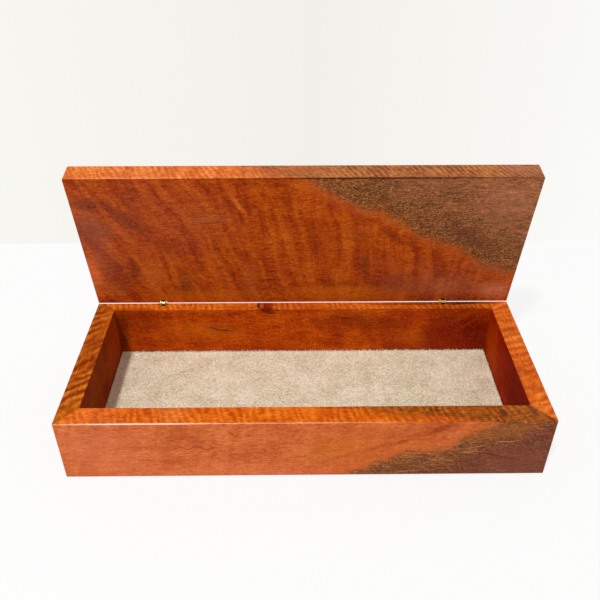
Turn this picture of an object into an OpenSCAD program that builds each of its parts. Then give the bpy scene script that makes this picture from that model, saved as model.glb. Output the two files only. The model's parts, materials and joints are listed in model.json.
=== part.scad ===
// Mitred timber box with a one-board lid on two brass barrel hinges.
// The origin is at the middle of the underside, +Z is up, +X runs along the
// front and -Y is the front. The lid is drawn standing open by lid_open.

/* [Box] */
// Width of the box over its end walls
box_w = 300; // [240:1:400]
// Depth of the box from its front face to its back face
box_d = 119.5; // [100:0.5:180]
// Height of the walls from the table to the rim
box_h = 49; // [35:0.5:90]
// Thickness of the four wall boards
wall_t = 13; // [11.5:0.25:18]
// Thickness of the bottom panel
bottom_t = 7; // [4:0.5:10]
// How far the bottom panel is let into the walls
rebate_d = 5; // [3:0.5:7]

/* [Lid] */
// Thickness of the lid board
lid_t = 14; // [12.5:0.25:20]
// Gap between the rim and the closed lid
lid_gap = 0.15; // [0.1:0.05:0.4]
// Angle at which the lid stands open
lid_open = 80; // [0:1:95]

/* [Edges] */
// Width of the 45 degree chamfers along the back edges of the rim and the lid
back_chamfer = 5.2; // [4:0.1:7]
// Radius of the edges that stand on the table
base_round = 3; // [0.5:0.1:4]
// Radius of the top edges along the front and back of the lid
lid_round = 1; // [0.5:0.1:4]
// Radius of the top edges at the ends of the lid
lid_end_round = 2.6; // [0.5:0.1:4]
// Radius of the upright corners of the box and the lid
corner_round = 0.8; // [0.3:0.1:2]
// Radius of the sanded arrises along the rim and under the lid
arris = 0.3; // [0.2:0.1:1]

/* [Lining] */
// Thickness of the suede
lining_t = 1.5; // [0.8:0.1:3]
// Gap between the suede and the walls around it
lining_gap = 0.3; // [0.1:0.1:1]

/* [Hinges] */
// Distance from each hinge to the end of the box
hinge_inset = 47.4; // [25:0.1:90]
// How far the hinge pivot lies behind the start of the chamfers
pivot_back = 0.35; // [0.35:0.05:1.5]
// Diameter of the brass barrels
barrel_dia = 7; // [6:0.25:8]
// Length of the brass barrels
barrel_len = 10; // [9.5:0.25:11]
// How far the barrels lie below the wood around them
barrel_recess = 0.1; // [0.05:0.05:0.3]
// Angle of the slope on the back half of each barrel end
barrel_slope = 52; // [50:1:60]
// Radius turned on the front edge of the barrel ends
barrel_ease = 0.5; // [0.2:0.05:0.8]
// Depth of the glue rings around the barrels
ring_depth = 0.25; // [0.1:0.05:0.4]
// Number of glue rings on each barrel
ring_count = 3; // [1:1:4]

/* [Hinge leaves and pins] */
// Thickness of each of the two leaves held in the box barrel
box_leaf_t = 0.8; // [0.6:0.05:1]
// Thickness of the leaf held in the lid barrel
lid_leaf_t = 1.4; // [1:0.05:1.6]
// Side play beside each leaf
leaf_play = 0.05; // [0.03:0.01:0.1]
// Radius of the round ends of the leaves
leaf_r = 1.85; // [1.3:0.05:1.9]
// Distance from the pivot to the pins that hold the leaves in the barrels
leaf_len = 4.8; // [4.2:0.1:5]
// Diameter of the pivot pins
pivot_dia = 1.6; // [1.2:0.1:1.8]
// Radial play of the lid leaf on the pivot pin
pivot_play = 0.03; // [0.01:0.01:0.1]
// Diameter of the pins that hold the leaves in the barrels
cross_pin_dia = 1.2; // [0.8:0.1:1.4]
// How far the ends of those pins lie inside the barrel's skin
cross_pin_sink = 0.3; // [0.1:0.1:0.6]

/* [Hidden] */

$fn = 64;
// Overshoot of a cutting shape past the face that it cuts
cut_over = 1;
// Which side a hinge is on
LEFT = -1;
RIGHT = 1;

timber = [0.80, 0.40, 0.18];
lid_timber = [0.64, 0.29, 0.13];
plywood = [0.76, 0.60, 0.42];
suede = [0.80, 0.72, 0.62];
brass = [0.84, 0.68, 0.36];
steel = [0.62, 0.62, 0.64];

inner_w = box_w - 2 * wall_t;
inner_d = box_d - 2 * wall_t;

barrel_r = barrel_dia / 2;
pivot_x = box_w / 2 - hinge_inset;
pivot_y = box_d / 2 - back_chamfer + pivot_back;
pivot_z = box_h + lid_gap / 2;
// Height of the pivot over the end of a barrel, the same on both barrels
pivot_rise = barrel_recess + lid_gap / 2;
lid_z = box_h + lid_gap;

// The leaves lie side by side in one slot, which both barrels have
slot_w = lid_leaf_t + 2 * box_leaf_t + 4 * leaf_play;
box_leaf_x = lid_leaf_t / 2 + leaf_play + box_leaf_t / 2;
cross_pin_drop = leaf_len - pivot_rise;
slot_depth = cross_pin_drop + leaf_r + leaf_play;
pivot_pin_len = lid_leaf_t + 2 * box_leaf_t + 2 * leaf_play;
cross_pin_len = barrel_dia - 2 * cross_pin_sink;
// The glue rings share out the solid stretch between the slot and the blind end
ring_pitch = (barrel_len - slot_depth) / (ring_count + 0.5);
ring_w = ring_pitch / 2;

// ---- Shared shapes ----

// What a round of radius r takes off the corner at the origin, in the plane
module corner_cut(r) {
    difference() {
        translate([-cut_over, -cut_over]) square(r + cut_over);
        translate([r, r]) circle(r = r);
    }
}

// A rectangle with a radius of its own on each corner, from the origin's corner round
module eased_rect(w, h, radii) {
    corners = [[0, 0], [w, 0], [w, h], [0, h]];
    difference() {
        square([w, h]);
        for (i = [0:3])
            if (radii[i] > 0) translate(corners[i]) rotate(90 * i) corner_cut(radii[i]);
    }
}

// Extrudes a section drawn as (Y, Z) along X, centred
module along_x(len) {
    translate([-len / 2, 0, 0]) rotate([90, 0, 90]) linear_extrude(len) children();
}

// Extrudes a section drawn as (X, Z) along Y, centred
module along_y(len) {
    translate([0, len / 2, 0]) rotate([90, 0, 0]) linear_extrude(len) children();
}

// A round rod along X, centred
module rod_x(d, len) {
    rotate([0, 90, 0]) cylinder(d = d, h = len, center = true);
}

// ---- Box ----

// Plan of a board mitred at both ends, its outside face on Y = 0
module mitred_plan(len) {
    difference() {
        polygon([
            [-len / 2, 0],
            [len / 2, 0],
            [len / 2 - wall_t, wall_t],
            [-len / 2 + wall_t, wall_t]
        ]);
        translate([-len / 2, 0]) corner_cut(corner_round);
        translate([len / 2, 0]) rotate(90) corner_cut(corner_round);
    }
}

// A wall board along X with its outside face on Y = 0, rebated for the bottom panel
module wall_board(len) {
    intersection() {
        along_x(len) difference() {
            eased_rect(wall_t, box_h, [base_round, 0, arris, arris]);
            translate([wall_t - rebate_d, -cut_over])
                square([rebate_d + cut_over, bottom_t + cut_over]);
        }
        linear_extrude(box_h) mitred_plan(len);
    }
}

// The chamfer along the back of the rim, which runs through both mitres
module rim_chamfer_cut() {
    along_x(box_w + 2 * cut_over)
        polygon([
            [box_d / 2 - back_chamfer - cut_over, box_h + cut_over],
            [box_d / 2 + cut_over, box_h - back_chamfer - cut_over],
            [box_d / 2 + cut_over, box_h + cut_over]
        ]);
}

// The bore for a box barrel, open at the rim
module box_bore(side) {
    translate([side * pivot_x, pivot_y, box_h - barrel_recess - barrel_len])
        cylinder(r = barrel_r, h = barrel_len + barrel_recess + cut_over);
}

module front_wall() {
    color(timber) translate([0, -box_d / 2, 0]) wall_board(box_w);
}

module back_wall() {
    color(timber) difference() {
        translate([0, box_d / 2, 0]) rotate(180) wall_board(box_w);
        rim_chamfer_cut();
        for (side = [LEFT, RIGHT]) box_bore(side);
    }
}

module end_wall(side) {
    color(timber) difference() {
        translate([side * box_w / 2, 0, 0]) rotate(side * 90) wall_board(box_d);
        rim_chamfer_cut();
    }
}

module bottom_panel() {
    panel = [inner_w + 2 * rebate_d, inner_d + 2 * rebate_d, bottom_t];
    color(plywood) translate([-panel[0] / 2, -panel[1] / 2, 0]) cube(panel);
}

module suede_lining() {
    sheet = [inner_w - 2 * lining_gap, inner_d - 2 * lining_gap, lining_t];
    color(suede) translate([-sheet[0] / 2, -sheet[1] / 2, bottom_t]) cube(sheet);
}

// ---- Lid ----

// Turns what is drawn closed to where the lid stands
module opened() {
    translate([0, pivot_y, pivot_z]) rotate([-lid_open, 0, 0])
        translate([0, -pivot_y, -pivot_z]) children();
}

module lid_block() {
    intersection() {
        translate([0, 0, lid_z]) along_x(box_w) translate([-box_d / 2, 0])
            eased_rect(box_d, lid_t, [arris, 0, lid_round, lid_round]);
        translate([0, 0, lid_z]) along_y(box_d) translate([-box_w / 2, 0])
            eased_rect(box_w, lid_t, [arris, arris, lid_end_round, lid_end_round]);
        translate([0, 0, lid_z]) linear_extrude(lid_t) translate([-box_w / 2, -box_d / 2])
            eased_rect(box_w, box_d, [for (i = [0:3]) corner_round]);
    }
}

// The chamfer along the back of the lid's underside
module lid_chamfer_cut() {
    along_x(box_w + 2 * cut_over)
        polygon([
            [box_d / 2 - back_chamfer - cut_over, lid_z - cut_over],
            [box_d / 2 + cut_over, lid_z - cut_over],
            [box_d / 2 + cut_over, lid_z + back_chamfer + cut_over]
        ]);
}

// The bore for a lid barrel, open at the lid's underside
module lid_bore(side) {
    translate([side * pivot_x, pivot_y, lid_z - cut_over])
        cylinder(r = barrel_r, h = barrel_len + barrel_recess + cut_over);
}

module lid_board() {
    color(lid_timber) opened() difference() {
        lid_block();
        lid_chamfer_cut();
        for (side = [LEFT, RIGHT]) lid_bore(side);
    }
}

// ---- Hinges ----

// A barrel with its slotted end up at Z = 0 and its slope at the back
module barrel() {
    difference() {
        union() {
            translate([0, 0, -barrel_len]) cylinder(r = barrel_r, h = barrel_len - barrel_ease);
            translate([0, 0, -barrel_ease])
                cylinder(r1 = barrel_r, r2 = barrel_r - barrel_ease, h = barrel_ease);
        }
        translate([-slot_w / 2, -barrel_dia, -slot_depth])
            cube([slot_w, 2 * barrel_dia, slot_depth + cut_over]);
        rotate([-barrel_slope, 0, 0]) translate([-barrel_dia, 0, 0])
            cube([2 * barrel_dia, 3 * barrel_dia, 2 * barrel_dia]);
        translate([0, 0, -cross_pin_drop]) rod_x(cross_pin_dia, 2 * barrel_dia);
        for (i = [1:ring_count])
            translate([0, 0, -barrel_len + (i - 0.5) * ring_pitch]) glue_ring();
    }
}

// What a glue ring takes off the barrel
module glue_ring() {
    difference() {
        cylinder(r = barrel_r + cut_over, h = ring_w);
        translate([0, 0, -cut_over])
            cylinder(r = barrel_r - ring_depth, h = ring_w + 2 * cut_over);
    }
}

// Puts a shape drawn about the origin at a hinge's pivot
module at_pivot(side) {
    translate([side * pivot_x, pivot_y, pivot_z]) children();
}

// Turns a shape drawn for the box over to the lid
module flipped() {
    mirror([0, 0, 1]) children();
}

// A leaf hanging from the pivot at the origin, with its thickness centred on X
module leaf(thick, pivot_hole_dia) {
    along_x(thick) difference() {
        union() {
            circle(r = leaf_r);
            translate([-leaf_r, -leaf_len]) square([2 * leaf_r, leaf_len]);
            translate([0, -leaf_len]) circle(r = leaf_r);
        }
        circle(d = pivot_hole_dia);
        translate([0, -leaf_len]) circle(d = cross_pin_dia);
    }
}

module box_barrel(side) {
    color(brass) at_pivot(side) translate([0, 0, -pivot_rise]) barrel();
}

module lid_barrel(side) {
    color(brass) opened() at_pivot(side) flipped() translate([0, 0, -pivot_rise]) barrel();
}

// One of the pair of leaves held in the box barrel, way is -1 or 1 along X
module box_leaf(side, way) {
    color(brass) at_pivot(side) translate([way * box_leaf_x, 0, 0])
        leaf(box_leaf_t, pivot_dia);
}

module lid_leaf(side) {
    color(brass) opened() at_pivot(side) flipped()
        leaf(lid_leaf_t, pivot_dia + 2 * pivot_play);
}

module pivot_pin(side) {
    color(steel) at_pivot(side) rod_x(pivot_dia, pivot_pin_len);
}

module box_cross_pin(side) {
    color(steel) at_pivot(side) translate([0, 0, -leaf_len])
        rod_x(cross_pin_dia, cross_pin_len);
}

module lid_cross_pin(side) {
    color(steel) opened() at_pivot(side) translate([0, 0, leaf_len])
        rod_x(cross_pin_dia, cross_pin_len);
}

front_wall();
back_wall();
end_wall(LEFT);  // left_wall
end_wall(RIGHT);  // right_wall
bottom_panel();
suede_lining();
lid_board();

box_barrel(LEFT);  // left_box_barrel
lid_barrel(LEFT);  // left_lid_barrel
box_leaf(LEFT, LEFT);  // left_end_leaf
box_leaf(LEFT, RIGHT);  // left_middle_leaf
lid_leaf(LEFT);  // left_lid_leaf
pivot_pin(LEFT);  // left_pivot_pin
box_cross_pin(LEFT);  // left_box_cross_pin
lid_cross_pin(LEFT);  // left_lid_cross_pin

box_barrel(RIGHT);  // right_box_barrel
lid_barrel(RIGHT);  // right_lid_barrel
box_leaf(RIGHT, RIGHT);  // right_end_leaf
box_leaf(RIGHT, LEFT);  // right_middle_leaf
lid_leaf(RIGHT);  // right_lid_leaf
pivot_pin(RIGHT);  // right_pivot_pin
box_cross_pin(RIGHT);  // right_box_cross_pin
lid_cross_pin(RIGHT);  // right_lid_cross_pin
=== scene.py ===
# %% [markdown]
# # A mitred timber box with a suede lining
# The box is built from four mitred boards, a plywood bottom, a one-board lid and two
# brass barrel hinges. All of these come ready made from the CAD model, so this lesson
# gives them their finishes and adds the one soft piece, the suede lining. First the
# frame is loaded. It holds every solid at its real size and place, in metres.

# %% Load the frame
import json
from math import pi, radians

import bmesh
import bpy
from mathutils import Matrix, Vector, noise


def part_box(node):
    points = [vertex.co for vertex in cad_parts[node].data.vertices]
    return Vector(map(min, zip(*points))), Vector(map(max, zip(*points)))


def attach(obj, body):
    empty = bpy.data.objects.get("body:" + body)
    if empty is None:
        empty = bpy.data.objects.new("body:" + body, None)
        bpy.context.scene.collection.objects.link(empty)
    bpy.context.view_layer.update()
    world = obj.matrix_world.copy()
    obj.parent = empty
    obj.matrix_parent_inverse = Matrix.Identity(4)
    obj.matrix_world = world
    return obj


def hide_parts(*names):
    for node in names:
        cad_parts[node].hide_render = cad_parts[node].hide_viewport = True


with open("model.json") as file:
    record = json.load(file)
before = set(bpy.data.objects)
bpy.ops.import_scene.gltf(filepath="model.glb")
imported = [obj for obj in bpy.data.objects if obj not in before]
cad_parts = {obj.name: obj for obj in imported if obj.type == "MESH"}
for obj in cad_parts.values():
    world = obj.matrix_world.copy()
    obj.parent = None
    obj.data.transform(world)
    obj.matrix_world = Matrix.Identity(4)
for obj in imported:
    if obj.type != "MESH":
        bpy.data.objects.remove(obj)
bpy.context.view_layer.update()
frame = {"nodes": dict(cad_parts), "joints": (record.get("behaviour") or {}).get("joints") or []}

MM = 0.001
scene = bpy.context.scene

# %% [markdown]
# ## Sizes
# Every place in this script is worked out from the solids, so that a pattern stays on its
# board if the box changes size. The walls give the outside of the box, and the hinge joint
# gives the line that the lid turns on and how far it stands open.

# %% Sizes taken from the frame
front_low, front_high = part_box("front_wall")
back_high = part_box("back_wall")[1]
LENGTH = (front_high.x - front_low.x) / MM
DEPTH = (back_high.y - front_low.y) / MM
HEIGHT = front_high.z / MM
WALL = (front_high.y - front_low.y) / MM
hinge = next(j for j in frame["joints"] if j["name"] == "lid_hinge")
PIVOT = Vector(hinge["pos_m"]) / MM
LID_OPEN = radians(-min(hinge["range_deg"]))
print(f"box {LENGTH:.1f} x {DEPTH:.1f} x {HEIGHT:.1f} mm, walls {WALL:.1f} mm")
print(f"the lid stands open by {LID_OPEN * 180 / pi:.0f} degrees")

# %% [markdown]
# ## Camera
# A camera is a lens and a place. The lens is given as a focal length on a 36 mm sensor.
# It looks down on the open box from the front. Shifting a lens sideways or down keeps the
# uprights of a box from leaning, and shift_y does that here.

# %% The camera
CAMERA_PLACE = Vector((-6.3, -330.2, 353.1)) * MM
CAMERA_DOWN = radians(32.64)
CAMERA_RIGHT = radians(0.58)
CAMERA_ROLL = radians(0.04)
FOCAL_LENGTH = 39.80
SENSOR_WIDTH = 36
LENS_SHIFT = -0.1056

lens = bpy.data.cameras.new("camera")
lens.lens = FOCAL_LENGTH
lens.sensor_width = SENSOR_WIDTH
lens.shift_y = LENS_SHIFT
lens.clip_start = 0.01
camera = bpy.data.objects.new("camera", lens)
camera.location = CAMERA_PLACE
camera.rotation_euler = (pi / 2 - CAMERA_DOWN, 0, -CAMERA_RIGHT)
camera.rotation_euler.rotate_axis("Z", CAMERA_ROLL)
scene.collection.objects.link(camera)
scene.camera = camera
scene.view_settings.view_transform = "Standard"
print("camera lens", FOCAL_LENGTH, "mm")

# %% [markdown]
# ## Two helpers for materials
# Colours are written as the hex codes that a paint program shows. Blender works with
# linear light, so one function turns a code into linear numbers. The other adds a node
# to a tree. It takes the node's settings by name and a dictionary of inputs, where each
# input is a number, a colour or the output of another node, and gives back the new
# node's first output, so that one call feeds the next. A colour ramp also gets its stops,
# each a place from 0 to 1 and a colour code. Settings that come back often have a name.

# %% Colours from hex codes
def linear(code):
    """A colour from its sRGB hex code."""
    channels = [int(code[i:i + 2], 16) / 255 for i in (0, 2, 4)]
    bent = [c / 12.92 if c < 0.04045 else ((c + 0.055) / 1.055) ** 2.4 for c in channels]
    return (*bent, 1)


print("mid grey in linear light:", [round(c, 3) for c in linear("808080")[:3]])

# %% Adding a node
MIX = {"data_type": "RGBA", "blend_type": "MIX"}
OVERLAY = {"data_type": "RGBA", "blend_type": "OVERLAY"}
SMOOTH = {"interpolation_type": "SMOOTHSTEP"}


def add(tree, kind, inputs=None, stops=(), **settings):
    """Adds a node with its settings, stops and links, and returns its first output."""
    node = tree.nodes.new(kind)
    for name, value in settings.items():
        setattr(node, name, value)
    for number, (where, code) in enumerate(stops):
        elements = node.color_ramp.elements
        stop = elements[number] if number < 2 else elements.new(where)
        stop.position = where
        stop.color = linear(code)
    for name, value in (inputs or {}).items():
        if isinstance(name, int):
            socket = node.inputs[name]
        else:
            socket = next(s for s in node.inputs if s.name == name and s.enabled)
        if isinstance(value, bpy.types.NodeSocket):
            tree.links.new(value, socket)
        else:
            socket.default_value = value
    return next((s for s in node.outputs if s.enabled), node)


def new_material(name):
    """An empty material with its node tree and its output node."""
    material = bpy.data.materials.new(name)
    material.use_nodes = True
    material.node_tree.nodes.clear()
    out = material.node_tree.nodes.new("ShaderNodeOutputMaterial")
    return material, material.node_tree, out


print("settings with names:", MIX, OVERLAY, SMOOTH)

# %% [markdown]
# ## Table
# The box stands on a table of white laminate, which is matt and evenly white. It isn't
# part of the object. Its white comes from a glow that only the camera and mirror rays
# see, so no extra light falls on the box, and its plain diffuse part keeps the soft
# shadow.

# %% Helpers for the stage
TABLE_SIZE = 8.0


def flat_piece(name, corners, material):
    """A single rectangle with a material."""
    mesh = bpy.data.meshes.new(name)
    mesh.from_pydata(corners, [], [(0, 1, 2, 3)])
    mesh.materials.append(material)
    piece = bpy.data.objects.new(name, mesh)
    scene.collection.objects.link(piece)
    return piece


def seen_rays(tree):
    """1 for rays from the camera, a mirror or through glass, else 0."""
    path = add(tree, "ShaderNodeLightPath").node
    glossy = add(tree, "ShaderNodeMath", {0: path.outputs["Is Camera Ray"],
                                          1: path.outputs["Is Glossy Ray"]}, operation="MAXIMUM")
    return add(tree, "ShaderNodeMath", {0: glossy, 1: path.outputs["Is Transmission Ray"]},
               operation="MAXIMUM")


print("the stage reaches", TABLE_SIZE / 2, "m to each side")

# %% The table
TABLE_GLOW = 0.82

laminate, tree, out = new_material("white laminate table")
matt = add(tree, "ShaderNodeBsdfDiffuse", {"Color": linear("ebebe9")})
light = add(tree, "ShaderNodeEmission", {"Color": linear("ffffff"), "Strength": 1.0})
share = add(tree, "ShaderNodeMath", {0: seen_rays(tree), 1: TABLE_GLOW}, operation="MULTIPLY")
shader = add(tree, "ShaderNodeMixShader", {0: share, 1: matt, 2: light})
tree.links.new(shader, out.inputs["Surface"])

half = TABLE_SIZE / 2
table = flat_piece("table", [(-half, -half, 0), (half, -half, 0), (half, half, 0),
                             (-half, half, 0)], laminate)
print(f"the {table.name} glows at {TABLE_GLOW} of full white")

# %% [markdown]
# ## Wall
# Behind the table stands a painted wall, a little darker in the middle than at the sides.
# It only glows, with a ramp of colours along X, and takes no part in the light on the box.
# Seen from behind it is clear, so it hides nothing when the camera moves there.

# %% The wall
WALL_Y = 0.211
WALL_HEIGHT = 3.0
SHADE_LEFT = -0.3
SHADE_RIGHT = 0.35

wall_paint, tree, out = new_material("warm white wall paint")
geometry = add(tree, "ShaderNodeNewGeometry").node
place = add(tree, "ShaderNodeTexCoord").node.outputs["Object"]
across = add(tree, "ShaderNodeSeparateXYZ", {0: place})
shade = add(tree, "ShaderNodeMapRange", {"Value": across, "From Min": SHADE_LEFT,
                                         "From Max": SHADE_RIGHT})
shade = add(tree, "ShaderNodeValToRGB", {"Fac": shade},
            stops=((0, "f8f7f2"), (0.48, "f2f0ea"), (1, "fdfdfb")))
light = add(tree, "ShaderNodeEmission", {"Color": shade})
clear = add(tree, "ShaderNodeBsdfTransparent")
shader = add(tree, "ShaderNodeMixShader", {
    0: geometry.outputs["Backfacing"], 1: light, 2: clear})
tree.links.new(shader, out.inputs["Surface"])

wall = flat_piece("wall", [(-half, WALL_Y, 0), (half, WALL_Y, 0), (half, WALL_Y, WALL_HEIGHT),
                           (-half, WALL_Y, WALL_HEIGHT)], wall_paint)
wall.visible_diffuse = False
wall.visible_shadow = False
print("wall at y =", WALL_Y, "m")

# %% [markdown]
# ## Light
# The room is evenly white, and one lamp above, to the left and a little in front, gives
# the soft shadow of the left wall on the suede. World and lamp together light a level
# surface at about full strength, so that a colour renders about as it is written.

# %% Room light and lamp
ROOM_LEVEL = 0.60
LAMP_LEVEL = 0.56
LAMP_WAY = Vector((-0.25, -0.47, 1)).normalized()
LAMP_REACH = 2.5
LAMP_SIZE = 0.18

world = bpy.data.worlds.new("white room")
scene.world = world
world.use_nodes = True
tree = world.node_tree
tree.nodes.clear()
out = tree.nodes.new("ShaderNodeOutputWorld")
extra = add(tree, "ShaderNodeMath", {0: seen_rays(tree), 1: 1 - ROOM_LEVEL}, operation="MULTIPLY")
level = add(tree, "ShaderNodeMath", {0: extra, 1: ROOM_LEVEL}, operation="ADD")
sky = add(tree, "ShaderNodeBackground", {"Color": (1, 1, 1, 1), "Strength": level})
tree.links.new(sky, out.inputs["Surface"])

bulb = bpy.data.lights.new("lamp", "AREA")
bulb.shape = "DISK"
bulb.size = LAMP_SIZE
# From 1 m away, pi squared watts light a level surface at full strength
bulb.energy = LAMP_LEVEL * pi ** 2 * LAMP_REACH ** 2
lamp = bpy.data.objects.new("lamp", bulb)
lamp.location = LAMP_WAY * LAMP_REACH
lamp.rotation_euler = LAMP_WAY.to_track_quat("Z", "Y").to_euler()
scene.collection.objects.link(lamp)
print(f"lamp {bulb.energy:.1f} W at {LAMP_REACH} m")

# %% [markdown]
# ## Where a pattern sits on its board
# A board is cut from a log, so its figure runs through it and shows on every face. The
# pattern is therefore solid: it reads the place inside the board, not a flat picture.
# Each board gets its own ruler in millimetres, with X along the board, Y across its wide
# face and Z out of it. A Mapping node turns Object coordinates into that ruler, and the
# matrix below holds what the node needs.

# %% A ruler for each board
TO_MM = Matrix.Scale(1 / MM, 4)


def wall_ruler(turn, face):
    """X to the right, Y up and Z out of a wall's outside face, seen from outside."""
    return (Matrix.Translation((0, 0, -face)) @ Matrix.Rotation(-pi / 2, 4, "X")
            @ Matrix.Rotation(-turn, 4, "Z") @ TO_MM)


# The lid's ruler starts at the hinge line: Y runs to the front edge, Z out of the inside face
lid_ruler = (Matrix.Rotation(LID_OPEN + pi, 4, "X") @ Matrix.Translation(-PIVOT) @ TO_MM)
RULERS = {
    "front": wall_ruler(0, DEPTH / 2),
    "right": wall_ruler(pi / 2, LENGTH / 2),
    "back": wall_ruler(pi, DEPTH / 2),
    "left": wall_ruler(-pi / 2, LENGTH / 2),
    "lid": lid_ruler,
    "bottom": TO_MM,
}
print("rulers:", ", ".join(RULERS))

# %% [markdown]
# In a material, one Mapping node gives the place on the ruler, and another one turns the
# surface's normal the same way, which tells a face from an edge.

# %% Reading a ruler in a material
def ruler(tree, board):
    """The place on a board in millimetres."""
    at, turn, size = RULERS[board].decompose()
    source = add(tree, "ShaderNodeTexCoord").node.outputs["Object"]
    return add(tree, "ShaderNodeMapping", {
        "Vector": source, "Location": at, "Rotation": turn.to_euler(), "Scale": size})


def facing(tree, board):
    """The way that the surface faces, read on the board's ruler."""
    turn = RULERS[board].decompose()[1]
    source = add(tree, "ShaderNodeTexCoord").node.outputs["Normal"]
    return add(tree, "ShaderNodeMapping", {
        "Vector": source, "Rotation": turn.to_euler()}, vector_type="VECTOR")


print("each board's pattern is read in mm from its ruler")

# %% [markdown]
# ## The figure of the timber
# Curly hardwood has several patterns on top of each other. Wide cloudy changes of colour
# lie over the whole board. Slanting bands cross its wide faces where the fibres wave, with
# thin dark lines between them. The same waves meet the narrow edges head on and show there
# as tight stripes, the fiddleback figure. Short ripples, the crepe, cover the faces, and
# fine fibres and pores run along the board. One node group holds them all, so that each
# board only sets its own sizes and depths. First come helpers for a group, for noise with
# a grain of so many millimetres, and for the places where a noise is near its middle.
# Noise keeps mostly between 0.3 and 0.7, which NOISE_RANGE spreads over 0 to 1.

# %% Helpers for groups and noise
NO_PLACE = (0, 0, 0)
NOISE_MIDDLE = (0.5, 0.5, 0.5)
NOISE_RANGE = {"From Min": 0.3, "From Max": 0.7}


def new_group(name, inputs, outputs):
    """A shader node group, with its inputs given as name: (kind, value)."""
    group = bpy.data.node_groups.new(name, "ShaderNodeTree")
    for label, (kind, value) in inputs.items():
        socket = group.interface.new_socket(label, in_out="INPUT",
                                            socket_type="NodeSocket" + kind)
        socket.default_value = value
    for label in outputs:
        group.interface.new_socket(label, in_out="OUTPUT", socket_type="NodeSocketFloat")
    given = group.nodes.new("NodeGroupInput")
    result = group.nodes.new("NodeGroupOutput")
    return group, given.outputs, result.inputs


def stretched(tree, place, size, detail, rough=0.5, swirl=0.0):
    """Noise whose grains are about size millimetres along X, Y and Z."""
    shrunk = add(tree, "ShaderNodeVectorMath", {0: place, 1: [1 / s for s in size]},
                 operation="MULTIPLY")
    return add(tree, "ShaderNodeTexNoise", {
        "Vector": shrunk, "Scale": 1.0, "Detail": detail, "Roughness": rough,
        "Distortion": swirl})


def away_from(tree, value, middle):
    """How far a number lies from a middle, on either side."""
    value = add(tree, "ShaderNodeMath", {0: value, 1: middle}, operation="SUBTRACT")
    return add(tree, "ShaderNodeMath", {0: value}, operation="ABSOLUTE")


print("every noise here takes its grain size in mm")

# %% The inputs of the figured timber
figure, given, result = new_group("figured timber", {
    "Place": ("Vector", NO_PLACE),
    "Edge": ("Float", 0.0),
    "Seed": ("Vector", NO_PLACE),
    "Cloud depth": ("Float", 0.5),
    "Band pitch": ("Float", 12.0),
    "Band slant": ("Float", 0.3),
    "Band fan": ("Float", 0.0),
    "Band depth": ("Float", 0.5),
    "Curl pitch": ("Float", 4.5),
    "Curl slant": ("Float", 0.2),
    "Curl depth": ("Float", 0.5),
    "Crepe depth": ("Float", 0.5),
    "Line depth": ("Float", 0.2),
}, ("Tone", "Fibre", "Pores", "Speckle"))
print("figured timber:", len(given) - 1, "inputs")

# %% [markdown]
# The fibres of a real board wander a few millimetres off its length, so every pattern is
# read at a place that a large, soft noise has pushed about. The clouds are a noise too,
# with grains that are longer along the board than across it.

# %% Wandering fibres and clouds
WANDER_LENGTH = (55, 45, 45)
WANDER = (14, 6, 4)
CLOUD_GRAIN = (34, 14, 14)

seeded = add(figure, "ShaderNodeVectorMath", {0: given["Place"], 1: given["Seed"]},
             operation="ADD")
drift = stretched(figure, seeded, WANDER_LENGTH, detail=1.0).node.outputs["Color"]
drift = add(figure, "ShaderNodeVectorMath", {0: drift, 1: NOISE_MIDDLE},
            operation="SUBTRACT")
bent = add(figure, "ShaderNodeVectorMath", {0: drift, 1: WANDER, 2: seeded},
           operation="MULTIPLY_ADD")
bent_xyz = add(figure, "ShaderNodeSeparateXYZ", {0: bent}).node.outputs
true_xyz = add(figure, "ShaderNodeSeparateXYZ", {0: given["Place"]}).node.outputs
cloud = stretched(figure, bent, CLOUD_GRAIN, detail=4.0, rough=0.6)
print("with wandering fibres and clouds:", len(figure.nodes), "nodes")

# %% [markdown]
# Where the fibres wave, the light shows bands that lie across the board. They are noise
# squeezed along the board and stretched across it. Their slant is a shear of the place,
# and the fan changes that shear from one end of the board to the other.

# %% Bands across the board
BAND_LENGTH = 90
BAND_THICKNESS = 40

turned = add(figure, "ShaderNodeMath", {0: true_xyz["X"], 1: given["Band fan"],
                                        2: given["Band slant"]}, operation="MULTIPLY_ADD")
leaning = add(figure, "ShaderNodeMath", {0: bent_xyz["Y"], 1: turned,
                                         2: bent_xyz["X"]}, operation="MULTIPLY_ADD")
sheared = add(figure, "ShaderNodeCombineXYZ", {"X": leaning, "Y": bent_xyz["Y"],
                                               "Z": bent_xyz["Z"]})
band_size = add(figure, "ShaderNodeCombineXYZ", {"X": given["Band pitch"],
                                                 "Y": BAND_LENGTH, "Z": BAND_THICKNESS})
band_place = add(figure, "ShaderNodeVectorMath", {0: sheared, 1: band_size},
                 operation="DIVIDE")
band = add(figure, "ShaderNodeTexNoise", {
    "Vector": band_place, "Scale": 1.0, "Detail": 1.5, "Roughness": 0.5})
band = add(figure, "ShaderNodeMapRange", {"Value": band, **NOISE_RANGE}, **SMOOTH)
print("with bands:", len(figure.nodes), "nodes")

# %% [markdown]
# Between the bands the fibres dip into the face and take up more oil, which draws thin
# dark lines. A noise passes through its middle along such lines, so how far it is from
# its middle gives them.

# %% Thin dark lines
FINER_THAN_BANDS = (1.3, 2, 1)
LINE_WIDTH = 0.09

line_place = add(figure, "ShaderNodeVectorMath", {0: band_place, 1: FINER_THAN_BANDS},
                 operation="MULTIPLY")
line = add(figure, "ShaderNodeTexNoise", {
    "Vector": line_place, "Scale": 1.0, "Detail": 2.0, "Roughness": 0.6})
line = away_from(figure, line, 0.5)
line = add(figure, "ShaderNodeMapRange", {"Value": line, "From Max": LINE_WIDTH}, **SMOOTH)
print("with thin lines:", len(figure.nodes), "nodes")

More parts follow.
